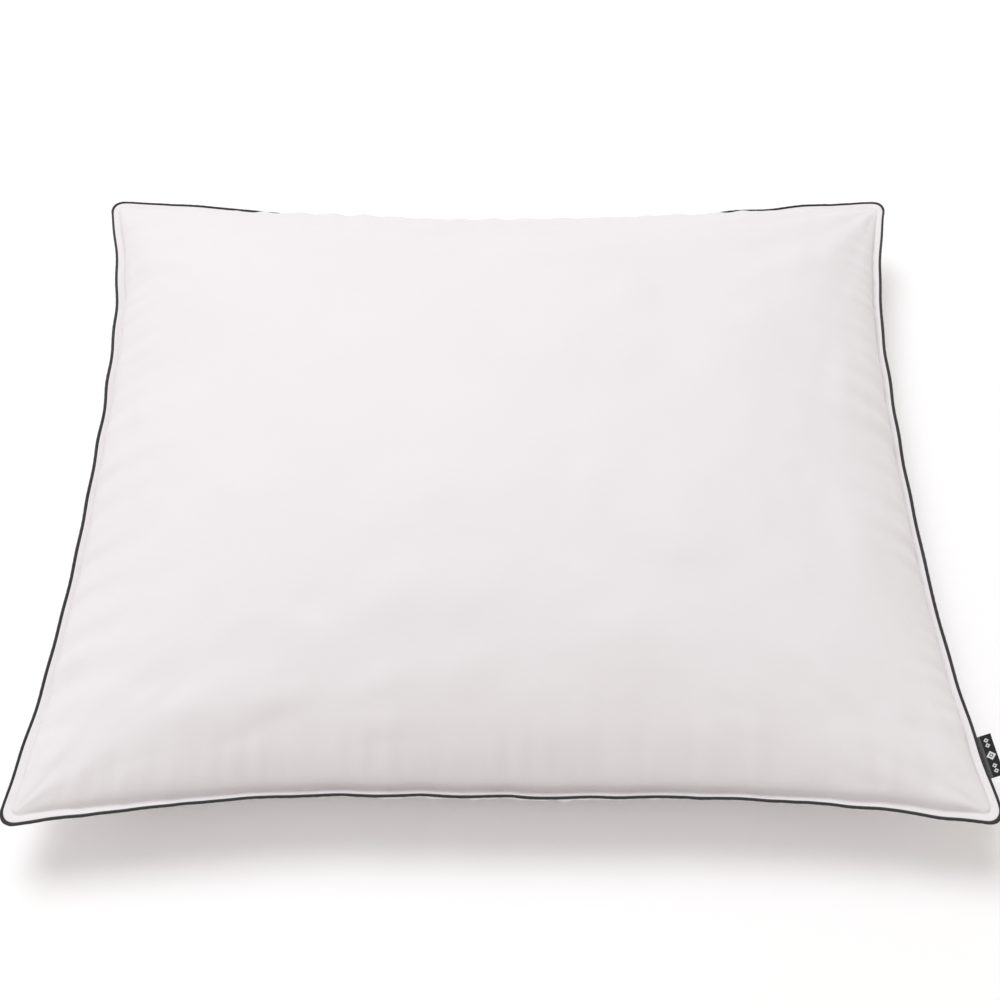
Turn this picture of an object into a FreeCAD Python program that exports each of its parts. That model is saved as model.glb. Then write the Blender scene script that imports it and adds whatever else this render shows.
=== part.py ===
"""A 60 x 70 cm bed pillow with a piped edge, as a parametric FreeCAD document in millimetres.

The pillow lies on its underside on the plane z = 0, with its long side along X, its short side along Y
and its origin under its centre. Its two cotton panels meet at a flat seam plane. The outline is four
shallow inward arcs, the pulled-in sides, joined by four small convex corner arcs. Outside the seam line
runs the piping. Inside it come both panels' turned-in hems, with the tail of the piping tape between
them, and the edge stitches. An inset is a distance inwards from the seam line.
"""
import FreeCAD, Part
import math
import os
import Sketcher

V = FreeCAD.Vector
UP = V(0, 0, 1)

DIMENSIONS = [  # alias, millimetres or a plain ratio, what it is
    ("corner_span_width", 675.0, "seam line, corner to corner along X"),
    ("corner_span_depth", 574.0, "seam line, corner to corner along Y"),
    ("side_pull", 20.0, "how far the middle of each side is pulled in"),
    ("corner_radius", 9.0, "seam line at a corner"),
    ("seam_height", 57.0, "seam plane above the surface that the pillow lies on"),
    ("crown_height", 100.0, "top of the crown above the seam plane"),
    ("crown_cap", 0.985, "share of the crown's arc where its flat top cap lies"),
    ("belly_run", 57.0, "horizontal run of the underside's curve before its flat"),
    ("belly_cap", 0.985, "share of the underside's curve where its flat lies"),
    ("fabric", 0.4, "one ply of cotton"),
    ("ply_gap", 0.4, "room for the seam thread between a hem's two plies"),
    ("tape_tail", 0.6, "both plies of the piping tape's tail together"),
    ("layer_gap", 0.05, "between the tail and each hem"),
    ("hem_width", 6.0, "seam line to the foot of the crown"),
    ("allowance", 10.0, "seam line to the raw edges inside"),
    ("piping_diameter", 2.4, "outside of the tape around its cord"),
    ("tape_ply", 0.3, "tape wall around the cord"),
    ("cord_slack", 0.05, "cord to tape, on the radius"),
    ("piping_gap", 0.15, "piping to the folded hems"),
    ("thread", 0.3, "sewing thread"),
    ("fill_gap", 1.5, "filling to the inside of the panels"),
    ("closing_length", 180.0, "stitches that close the filling gap"),
    ("label_clearance", 0.35, "piping to the free part of a label"),
    ("label_ply", 0.35, "one ply of a label"),
    ("label_gap", 0.3, "between a label's two plies"),
    ("woven_length", 31.0, "woven label along the seam"),
    ("woven_reach", 9.5, "woven label out of the piping"),
    ("woven_place", 237.5, "centre of the woven label in front of the side's middle"),
    ("care_length", 25.0, "care label along the seam"),
    ("care_reach", 38.0, "care label down from the piping"),
    ("care_place", 110.0, "centre of the care label left of the back's middle"),
]

# Shares of the height where a panel's contours lie. The last one is the flat cap.
CROWN_LEVELS = ("0", "0.12", "0.3", "0.5", "0.7", "0.86", "0.94", "Sheet.crown_cap")
BELLY_LEVELS = ("0", "0.3", "0.55", "0.78", "0.92", "Sheet.belly_cap")

# Heights from the seam plane of the layers in the upper hem. The lower hem mirrors them.
HEM_INNER = "(Sheet.tape_tail / 2 + Sheet.layer_gap)"
HEM_MIDDLE = f"({HEM_INNER} + Sheet.fabric)"
STRIP_INNER = f"({HEM_MIDDLE} + Sheet.ply_gap)"
STRIP_OUTER = f"({STRIP_INNER} + Sheet.fabric)"

PIPING_OUT = "(Sheet.piping_gap + Sheet.piping_diameter / 2)"  # seam line to the piping's centre
HALF_WIDTH = "(Sheet.corner_span_width / 2 - Sheet.side_pull)"  # at the middle of the short sides
HALF_DEPTH = "(Sheet.corner_span_depth / 2 - Sheet.side_pull)"  # at the middle of the long sides
CORNER_SIGNS = ((1, -1), (1, 1), (-1, 1), (-1, -1))

doc = FreeCAD.newDocument("pillow")
sheet = doc.addObject("Spreadsheet::Sheet", "Sheet")
for row, (alias, number, meaning) in enumerate(DIMENSIONS, start=1):
    sheet.set(f"A{row}", str(number))
    sheet.setAlias(f"A{row}", alias)
    sheet.set(f"B{row}", meaning)
doc.recompute()


def value(expression):
    """The number that an expression over the sheet gives."""
    return float(sheet.evalExpression(expression))


def new_body(label):
    body = doc.addObject("PartDesign::Body", label)
    body.Label = label
    return body


def new_sketch(body, name, plane="XY_Plane", height="0"):
    """A sketch on one of the body's own origin planes, moved off it by height."""
    sketch = body.newObject("Sketcher::SketchObject", name)
    origin = next(feature for feature in body.Origin.OriginFeatures if feature.Role == plane)
    sketch.AttachmentSupport = [(origin, "")]
    sketch.MapMode = "FlatFace"
    sketch.setExpression("AttachmentOffset.Base.z", height)
    return sketch


def bind(sketch, kind, where, expression):
    """Adds a dimension of this kind to the sketch and drives it by the expression."""
    index = sketch.addConstraint(Sketcher.Constraint(kind, *where, value(expression)))
    sketch.setExpression(f"Constraints[{index}]", expression)


def place(sketch, geometry, point, x, y):
    """Binds a point of the sketch to its coordinates."""
    bind(sketch, "DistanceX", (-1, 1, geometry, point), x)
    bind(sketch, "DistanceY", (-1, 1, geometry, point), y)


def side_radius(span, pull, corner):
    """Radius of a side's arc. span is half the distance between the centres of its two corner arcs."""
    return f"(({span}^2 + ({pull})^2) / (2 * ({pull})) - {corner})"


def seam_side_radius(corner_span):
    """Radius of the seam line along one side."""
    span = f"({corner_span} / 2 - Sheet.corner_radius)"
    return side_radius(span, "Sheet.side_pull", "Sheet.corner_radius")


def draw_outline(sketch, inset, corner=None, pull="Sheet.side_pull"):
    """Draws the pillow's outline: each side an arc pulled in by pull, each corner an arc of radius
    corner. With neither given, it is the seam line's exact offset."""
    corner = corner or f"(Sheet.corner_radius - ({inset}))"
    centre_x = f"(Sheet.corner_span_width / 2 - ({inset}) - {corner})"
    centre_y = f"(Sheet.corner_span_depth / 2 - ({inset}) - {corner})"
    x, y, r, sag = (value(expression) for expression in (centre_x, centre_y, corner, pull))
    corners, sides = [], []
    for k, (sign_x, sign_y) in enumerate(CORNER_SIGNS):
        turn = k * math.pi / 2
        half, half_before, out = (y, x, x) if k % 2 == 0 else (x, y, y)
        far = half**2 / (2 * sag) + sag / 2  # from a side arc's centre to its corner arcs' centres
        far_before = half_before**2 / (2 * sag) + sag / 2
        lean, lean_before = math.asin(half / far), math.asin(half_before / far_before)
        circle = Part.Circle(V(sign_x * x, sign_y * y), UP, r)
        arc = Part.ArcOfCircle(circle, turn - math.pi / 2 - lean_before, turn + lean)
        corners.append(sketch.addGeometry(arc, False))
        reach = out + far * math.cos(lean)
        circle = Part.Circle(V(reach * math.cos(turn), reach * math.sin(turn)), UP, far - r)
        arc = Part.ArcOfCircle(circle, turn + math.pi - lean, turn + math.pi + lean)
        sides.append(sketch.addGeometry(arc, False))
    for k, (sign_x, sign_y) in enumerate(CORNER_SIGNS):
        sketch.addConstraint(Sketcher.Constraint("Tangent", corners[k], 2, sides[k], 2))
        sketch.addConstraint(Sketcher.Constraint("Tangent", sides[k], 1, corners[(k + 1) % 4], 1))
        place(sketch, corners[k], 3, f"{sign_x} * {centre_x}", f"{sign_y} * {centre_y}")
    bind(sketch, "Radius", (corners[0],), corner)
    bind(sketch, "Radius", (sides[0],), side_radius(centre_y, pull, corner))
    bind(sketch, "Radius", (sides[1],), side_radius(centre_x, pull, corner))
    for k in (1, 2, 3):
        sketch.addConstraint(Sketcher.Constraint("Equal", corners[0], corners[k]))
    for k in (0, 1):
        sketch.addConstraint(Sketcher.Constraint("Equal", sides[k], sides[k + 2]))


def pad(body, name, sketch, thickness, both_ways=False):
    feature = body.newObject("PartDesign::Pad", name)
    feature.Profile = sketch
    feature.setExpression("Length", thickness)
    feature.Midplane = both_ways


def ring(body, name, outer_inset, inner_inset, height, thickness):
    """A flat band along the seam line, between two insets, standing on height. Where its inner outline
    would have no corner arc left, it gets a small one."""
    sketch = new_sketch(body, f"{name}_sketch", height=height)
    least_corner = "1"
    draw_outline(sketch, outer_inset)
    too_far = value(inner_inset) > value("Sheet.corner_radius") - value(least_corner)
    draw_outline(sketch, inner_inset, least_corner if too_far else None)
    pad(body, name, sketch, thickness)


def crown_inset(share):
    """Inset of the crown's contour, from its foot. The crown's section is a circular arc."""
    rise = f"((Sheet.crown_height - {STRIP_INNER}) / Sheet.crown_cap)"
    half = f"({HALF_DEPTH} - Sheet.hem_width)"
    radius = f"(({half}^2 + {rise}^2) / (2 * {rise}))"
    return f"({half} - sqrt({radius}^2 - ({radius} - {rise} * (1 - {share}))^2))"


def belly_inset(share):
    """Inset of the underside's contour, from its foot. Its section is a quarter of an ellipse."""
    return f"(Sheet.belly_run * (1 - sqrt(1 - ({share})^2)))"


def dome(body, kind, name, upwards, shrink, first=None):
    """A loft through the contours of the crown or of the underside. Further from the seam their sides
    get straighter and their corners rounder. shrink insets all of them and moves them towards the seam
    plane. A sketch given as first stands in for the contour at the foot."""
    sketches = [first] if first else []
    levels = CROWN_LEVELS if upwards else BELLY_LEVELS
    for number, share in enumerate(levels[len(sketches):], start=len(sketches)):
        if upwards:
            inset = crown_inset(share)
            rise = f"(Sheet.crown_height - {STRIP_INNER}) * {share} / Sheet.crown_cap"
            height = f"Sheet.seam_height + {STRIP_INNER} + {rise} - ({shrink})"
        else:
            inset = belly_inset(share)
            height = f"(Sheet.seam_height - {STRIP_INNER}) * (1 - {share} / Sheet.belly_cap) + ({shrink})"
        left = f"(1 - {inset} / {HALF_DEPTH})"
        corner = f"(Sheet.corner_radius - Sheet.hem_width + {inset} * {left} + {shrink})"
        pull = f"(Sheet.side_pull * {left}^2)"
        sketch = new_sketch(body, f"{name}_{number}", height=height)
        draw_outline(sketch, f"(Sheet.hem_width + {inset} + {shrink})", corner, pull)
        sketches.append(sketch)
    loft = body.newObject(f"PartDesign::{kind}", name)
    loft.Profile = sketches[0]
    loft.Sections = sketches[1:]


def make_panel(label, upwards):
    """One cotton panel: the cover itself, the strip between it and the seam line, the fold at the piping
    and the allowance turned in under the strip."""
    body = new_body(label)
    if upwards:
        side, strip, hem, fold = "+", STRIP_INNER, HEM_INNER, HEM_INNER
    else:
        side, strip, hem, fold = "-", STRIP_OUTER, HEM_MIDDLE, STRIP_OUTER
    root = "Sheet.hem_width + 4 * Sheet.fabric"  # the strip reaches under the cover's foot
    ring(body, f"{label}_strip", "0", root, f"Sheet.seam_height {side} {strip}", "Sheet.fabric")
    dome(body, "AdditiveLoft", f"{label}_outside", upwards, "0")
    dome(body, "SubtractiveLoft", f"{label}_inside", upwards, "Sheet.fabric")
    height = f"Sheet.seam_height {side} {fold}"
    ring(body, f"{label}_fold", "0", "Sheet.fabric", height, f"{STRIP_OUTER} - {HEM_INNER}")
    ring(body, f"{label}_hem", "0", "Sheet.allowance", f"Sheet.seam_height {side} {hem}", "Sheet.fabric")
    return [body]


def make_filling():
    """The loose filling as one soft block that leaves the seam allowances free."""
    body = new_body("filling")
    for name, upwards in (("filling_upper", True), ("filling_lower", False)):
        middle = new_sketch(body, f"{name}_middle", height="Sheet.seam_height")
        draw_outline(middle, "Sheet.allowance + Sheet.fill_gap", "4 * Sheet.fill_gap")
        dome(body, "AdditiveLoft", name, upwards, "(Sheet.fabric + Sheet.fill_gap)", middle)
    return [body]


def pipe(body, kind, name, diameter):
    """A round section swept along the closed line of the piping's centre."""
    spine = new_sketch(body, f"{name}_spine", height="Sheet.seam_height")
    draw_outline(spine, f"-{PIPING_OUT}")
    section = new_sketch(body, f"{name}_section", "YZ_Plane")
    front = f"-({HALF_DEPTH} + {PIPING_OUT})"
    centre = V(value(front), value("Sheet.seam_height"))
    circle = section.addGeometry(Part.Circle(centre, UP, value(diameter) / 2), False)
    place(section, circle, 3, front, "Sheet.seam_height")
    bind(section, "Diameter", (circle,), diameter)
    sweep = body.newObject(f"PartDesign::{kind}", name)
    sweep.Profile = section
    sweep.Spine = spine


def make_piping():
    """The filler cord, and the bias tape around it with its tail between the two hems."""
    bore = "(Sheet.piping_diameter - 2 * Sheet.tape_ply)"
    tape = new_body("piping_tape")
    pipe(tape, "AdditivePipe", "tape_outside", "Sheet.piping_diameter")
    pipe(tape, "SubtractivePipe", "tape_bore", bore)
    start = "-(Sheet.piping_gap + Sheet.tape_ply / 2)"
    height = "Sheet.seam_height - Sheet.tape_tail / 2"
    ring(tape, "tape_tail", start, "Sheet.allowance", height, "Sheet.tape_tail")
    cord = new_body("piping_cord")
    pipe(cord, "AdditivePipe", "cord", f"({bore} - 2 * Sheet.cord_slack)")
    return [tape, cord]


def make_seam_thread():
    """The seam that joins all layers beside the piping. It shows only between the plies of each hem."""
    body = new_body("seam_thread")
    slack = "(Sheet.ply_gap - Sheet.thread) / 2"
    line = "Sheet.fabric + 2 * Sheet.thread"
    for name, height in (
        ("needle_thread", f"Sheet.seam_height + {HEM_MIDDLE} + {slack}"),
        ("bobbin_thread", f"Sheet.seam_height - {STRIP_INNER} + {slack}"),
    ):
        ring(body, name, line, f"{line} + Sheet.thread", height, "Sheet.thread")
    return [body]


def strip_faces():
    """Where a thread lies on the outside of the upper and of the lower strip: a name and a height."""
    return (
        ("upper", f"Sheet.seam_height + {STRIP_OUTER}"),
        ("lower", f"Sheet.seam_height - {STRIP_OUTER} - Sheet.thread"),
    )


def make_edge_stitches():
    """The row of stitches all round, just outside the foot of the crown, on both faces."""
    bodies = []
    line = "Sheet.hem_width - 3 * Sheet.thread"
    for name, height in strip_faces():
        body = new_body(f"edge_stitch_{name}")
        ring(body, f"row_{name}", line, f"{line} + Sheet.thread", height, "Sheet.thread")
        bodies.append(body)
    return bodies


def make_closing_stitch():
    """The short second row in the middle of the back edge, where the pillow was filled."""
    body = new_body("closing_stitch")
    radius = seam_side_radius("Sheet.corner_span_width")
    outer = f"({radius} + Sheet.hem_width / 2)"
    centre = V(0, value(f"{HALF_DEPTH} + {radius}"))
    lean = math.asin(value("Sheet.closing_length / 2") / value(outer))
    for name, height in strip_faces():
        sketch = new_sketch(body, f"closing_{name}_sketch", height=height)
        arcs = []
        for bow in (outer, f"({outer} - Sheet.thread)"):
            circle = Part.Circle(centre, UP, value(bow))
            arc = Part.ArcOfCircle(circle, -math.pi / 2 - lean, -math.pi / 2 + lean)
            arcs.append(sketch.addGeometry(arc, False))
            place(sketch, arcs[-1], 3, "0", f"{HALF_DEPTH} + {radius}")
            bind(sketch, "Radius", (arcs[-1],), bow)
        for end, side in ((1, "-"), (2, "")):
            points = [sketch.getPoint(arc, end) for arc in arcs]
            closing = sketch.addGeometry(Part.LineSegment(*points), False)
            sketch.addConstraint(Sketcher.Constraint("Coincident", closing, 1, arcs[0], end))
            sketch.addConstraint(Sketcher.Constraint("Coincident", closing, 2, arcs[1], end))
            sketch.addConstraint(Sketcher.Constraint("Vertical", closing))
            bind(sketch, "DistanceX", (-1, 1, arcs[0], end), f"{side}Sheet.closing_length / 2")
        pad(body, f"closing_{name}", sketch, "Sheet.thread")
    return [body]


def make_label(label, length, reach, heading, pitch, base):
    """The free part of a folded label. In its own frame the piping's centre line is the Y axis, and the
    two plies run along X from just outside the piping to the fold."""
    body = new_body(label)
    sketch = new_sketch(body, f"{label}_profile", "XZ_Plane")
    start = "(Sheet.piping_diameter / 2 + Sheet.label_clearance)"
    outer, inner = "(Sheet.label_gap / 2 + Sheet.label_ply)", "Sheet.label_gap / 2"
    bend = f"({start} + {reach} - {outer})"
    x0, x1, r1, r0 = (value(expression) for expression in (start, bend, outer, inner))
    lines = {}
    for name, height in (("top", r1), ("under_top", r0), ("over_bottom", -r0), ("bottom", -r1)):
        line = Part.LineSegment(V(x0, height), V(x1, height))
        lines[name] = sketch.addGeometry(line, False)
        sketch.addConstraint(Sketcher.Constraint("Horizontal", lines[name]))
    for high, low, radius, size in (("top", "bottom", r1, outer), ("under_top", "over_bottom", r0, inner)):
        arc = Part.ArcOfCircle(Part.Circle(V(x1, 0), UP, radius), -math.pi / 2, math.pi / 2)
        fold = sketch.addGeometry(arc, False)
        sketch.addConstraint(Sketcher.Constraint("Tangent", lines[low], 2, fold, 1))
        sketch.addConstraint(Sketcher.Constraint("Tangent", fold, 2, lines[high], 2))
        place(sketch, fold, 3, bend, "0")
        bind(sketch, "Radius", (fold,), size)
    for high, low in (("top", "under_top"), ("over_bottom", "bottom")):
        points = [sketch.getPoint(lines[name], 1) for name in (high, low)]
        raw = sketch.addGeometry(Part.LineSegment(*points), False)
        sketch.addConstraint(Sketcher.Constraint("Coincident", raw, 1, lines[high], 1))
        sketch.addConstraint(Sketcher.Constraint("Coincident", raw, 2, lines[low], 1))
        sketch.addConstraint(Sketcher.Constraint("Vertical", raw))
        bind(sketch, "DistanceX", (-1, 1, raw, 1), start)
    pad(body, f"{label}_strip", sketch, length, both_ways=True)
    x, y = base
    turn = f"rotation({heading}; {pitch}; 0 deg)"
    body.setExpression("Placement", f"placement(vector({x}; {y}; Sheet.seam_height); {turn})")
    return [body]


def make_woven_label():
    """The loop of woven tape in the right side, near the front corner. It stands straight out."""
    radius = seam_side_radius("Sheet.corner_span_depth")
    heading = f"asin(Sheet.woven_place / {radius})"
    arm = f"({radius} - {PIPING_OUT})"  # from the side arc's centre to the piping's centre line
    base = (f"{HALF_WIDTH} + {radius} - {arm} * cos({heading})", f"-{arm} * sin({heading})")
    return make_label("woven_label", "Sheet.woven_length", "Sheet.woven_reach", heading, "0 deg", base)


def make_care_label():
    """The satin care label in the back edge. It hangs straight down."""
    radius = seam_side_radius("Sheet.corner_span_width")
    lean = f"asin(Sheet.care_place / {radius})"
    arm = f"({radius} - {PIPING_OUT})"
    heading = f"90 deg - {lean}"
    base = (f"-{arm} * sin({lean})", f"{HALF_DEPTH} + {radius} - {arm} * cos({lean})")
    return make_label("care_label", "Sheet.care_length", "Sheet.care_reach", heading, "90 deg", base)


bodies = make_panel("top_panel", upwards=True) + make_panel("bottom_panel", upwards=False)
bodies += make_filling() + make_piping() + make_seam_thread() + make_edge_stitches()
bodies += make_closing_stitch() + make_woven_label() + make_care_label()
doc.recompute()

for item in doc.Objects:
    if "Invalid" in item.State or "Error" in item.State:
        raise RuntimeError(f"{item.Name} failed: {item.State}")
for body in bodies:
    if body.Shape.isNull() or not body.Shape.isValid():
        raise RuntimeError(f"{body.Label} has no valid shape")

os.makedirs("parts", exist_ok=True)
for body in bodies:
    body.Shape.exportStep(f"parts/{body.Label}.step")
    box = body.Shape.BoundBox
    size = f"{box.XLength:.1f} x {box.YLength:.1f} x {box.ZLength:.1f} mm"
    print(f"{body.Label}: {len(body.Shape.Solids)} solid, {body.Shape.Volume:.0f} mm3, {size}")
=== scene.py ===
import math

import bmesh
import bpy
import numpy as np
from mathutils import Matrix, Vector


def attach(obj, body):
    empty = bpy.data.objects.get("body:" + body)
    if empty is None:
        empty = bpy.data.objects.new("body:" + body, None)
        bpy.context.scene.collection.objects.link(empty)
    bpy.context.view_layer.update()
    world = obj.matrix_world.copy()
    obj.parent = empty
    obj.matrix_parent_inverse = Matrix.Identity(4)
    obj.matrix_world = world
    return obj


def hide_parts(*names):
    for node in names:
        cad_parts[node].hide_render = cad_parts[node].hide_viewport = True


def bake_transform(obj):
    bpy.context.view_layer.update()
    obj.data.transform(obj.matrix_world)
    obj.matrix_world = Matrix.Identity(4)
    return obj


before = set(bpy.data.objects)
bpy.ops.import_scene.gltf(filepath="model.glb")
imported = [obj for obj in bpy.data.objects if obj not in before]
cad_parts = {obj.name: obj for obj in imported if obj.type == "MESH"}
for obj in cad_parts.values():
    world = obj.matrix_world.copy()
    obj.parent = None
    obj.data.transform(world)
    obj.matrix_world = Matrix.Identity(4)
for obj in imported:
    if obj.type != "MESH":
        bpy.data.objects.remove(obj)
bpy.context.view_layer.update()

# ---------------------------------------------------------------- sizes, in metres
MM = 0.001
SPAN = (0.675, 0.574)  # seam line, corner to corner
FLAT = (0.70, 0.60)  # each panel's cut between its seam lines
SEAM_Z = 0.057  # height of the seam line on the frame
CORNER_Z = {"front": 0.052, "back": 0.061}  # heights of the seam line's corners, and of its sides' middles
MIDDLE_Z = {"front": 0.057, "right": 0.057, "back": 0.058, "left": 0.057}
HEM = 6 * MM  # edge stitches to the seam line
SEAM_CORNER = 12 * MM  # corner radius of the seam line
STITCH_CORNER = 8 * MM  # corner radius of the edge stitches' line
PLY = 0.22 * MM
PIPING_OUT = 7.2 * MM  # edge stitches to the piping's centre
PIPING_RADIUS = 0.95 * MM
CORD_RADIUS = 0.67 * MM
THREAD = 0.15 * MM  # radius
PUFF = 0.16  # how much the strip's height varies where the stitches gather it
TAPE_HALF = 0.28 * MM  # half the thickness of the tape's two tails
TAPE_GAP = 0.03 * MM  # half the gap between them
TAPE_PLY = 0.2 * MM

# The pulled-in sides: depth at the middle, the two powers of its curve, and how far it leans to one end.
SIDES = {
    "front": (17.5 * MM, 2.6, 1, 0.0),
    "right": (23.0 * MM, 2.5, 1, 4.8 * MM),
    "back": (25.0 * MM, 2.0, 2, 0.0),
    "left": (21.5 * MM, 2.5, 1, 2.5 * MM),
}
TILT = {"front": 38, "right": 28, "back": 28, "left": 28}  # degrees that the strip tips up at mid-side

# How far the filling pushes single corners out or in: the corner's signs of X and Y, and its shift in each.
PUSHED = {(-1, -1): (-2.5 * MM, -2 * MM), (1, -1): (4 * MM, -2 * MM), (-1, 1): (-2.5 * MM, 0)}
PUSH_SPREAD = 50 * MM

# The panels' grid: the segments round each corner, and along each side between the corners.
ARC_STEPS = 8
LONG_STEPS = 120
SHORT_STEPS = 104
EASE = 1.026  # the puffed cloth is this much larger than its cut, as the filling stretches it

# The cover's shape before it is blown up.
CROWN_RISE = 104 * MM  # over the stitches
BELLY_DROP = 50 * MM  # under them
LUMP = 2 * MM
COARSE_LUMPS = (18, 21)  # lumps across the cover and along it
FINE_LUMPS = (36, 42)
BLOW_FRAMES = 26
SINK = 1.3 * MM  # the simulation's floor lies this much low, to make up for the gap its collisions keep

FILLING_SHARE = 0.97  # the filling's size, as a share of the cover's
WOVEN_WIDTH = 31 * MM
CARE_WIDTH = 25 * MM
CLOSING = 180 * MM  # the length of the gap where the pillow was filled

random = np.random.default_rng(11)


# ---------------------------------------------------------------- the outline
def graded(steps, crowding=0.45):
    """Fractions from 0 to 1 that lie closer together near both ends."""
    t = np.linspace(0, 1, steps + 1)
    return t - crowding * np.sin(2 * np.pi * t) / (2 * np.pi)


def side_line(steps, half, straight, radius):
    """One side of a rounded rectangle: places along it from its middle, and how far its ends drop back.
    The stretch between the corners' points is the same for every inset, so that they pair up."""
    lead = half - radius - straight
    run = (lead + radius * math.pi / 4) * np.linspace(1, 0, ARC_STEPS // 2 + 1)[:-1]
    bend = np.maximum(run - lead, 0) / radius
    along = straight + np.minimum(run, lead) + radius * np.sin(bend)
    drop = radius * (1 - np.cos(bend))
    middle = (2 * graded(steps) - 1) * straight
    x = np.concatenate([-along, middle, along[::-1]])
    return x, np.concatenate([drop, np.zeros(steps + 1), drop[::-1]])


def pull_in(side, t):
    """How far a side is pulled in, where t runs from -1 to 1 along +X or +Y."""
    depth, power, sharpness, lean = SIDES[side]
    pull = depth * (1 - np.abs(t) ** power) ** sharpness + lean * t * (1 - t**4)
    if side == "front":  # its left half waves a little
        pull = pull + 1.2 * MM * (1 - t) * np.sin(2 * np.pi * (t + 0.64)) * (1 - t**4)
    return pull


def outline(span, radius, inset=0.0, pulled=True):
    """The closed line counter-clockwise from the front left corner, as x, y and, for each point, its
    place t along its side from -1 to 1 and the side's number."""
    half = (span[0] / 2 - inset, span[1] / 2 - inset)
    rows = []
    for number, side in enumerate(SIDES):
        across = number % 2
        steps = SHORT_STEPS if across else LONG_STEPS
        straight = span[across] / 2 - HEM - STITCH_CORNER
        along, drop = side_line(steps, half[across], straight, radius)
        if number >= 2:  # the back and left sides run backwards
            along, drop = -along, drop
        t = along / half[across]
        reach = half[1 - across] - drop
        sign = -1 if side in ("front", "left") else 1
        if pulled:  # round each corner, both its sides pull
            ends = ("front", "back") if across else ("left", "right")
            near, far = (pull_in(end, sign * reach / half[1 - across]) for end in ends)
            reach = reach - pull_in(side, t)
            along = along + np.where(t < 0, near, -far)
        reach = sign * reach
        xy = (reach, along) if across else (along, reach)
        rows.append(np.stack([*xy, t, np.full(len(t), number)], 1)[:-1])
    line = np.concatenate(rows)
    if pulled:
        for signs, shift in PUSHED.items():
            away = line[:, :2] - np.array(signs) * (span[0] / 2, span[1] / 2)
            line[:, :2] += np.outer(np.exp(-(away**2).sum(1) / (2 * PUSH_SPREAD**2)), shift)
    return line


def waves(length, total, shortest, longest, count):
    """A closed wavy line over a loop of this total length, of unit size, from a few sine waves."""
    height = np.zeros_like(length)
    for _ in range(count):
        turns = int(total / random.uniform(shortest, longest))
        height += random.uniform(0.4, 1) * np.sin(2 * np.pi * (turns * length / total + random.random()))
    return height / math.sqrt(count)


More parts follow.
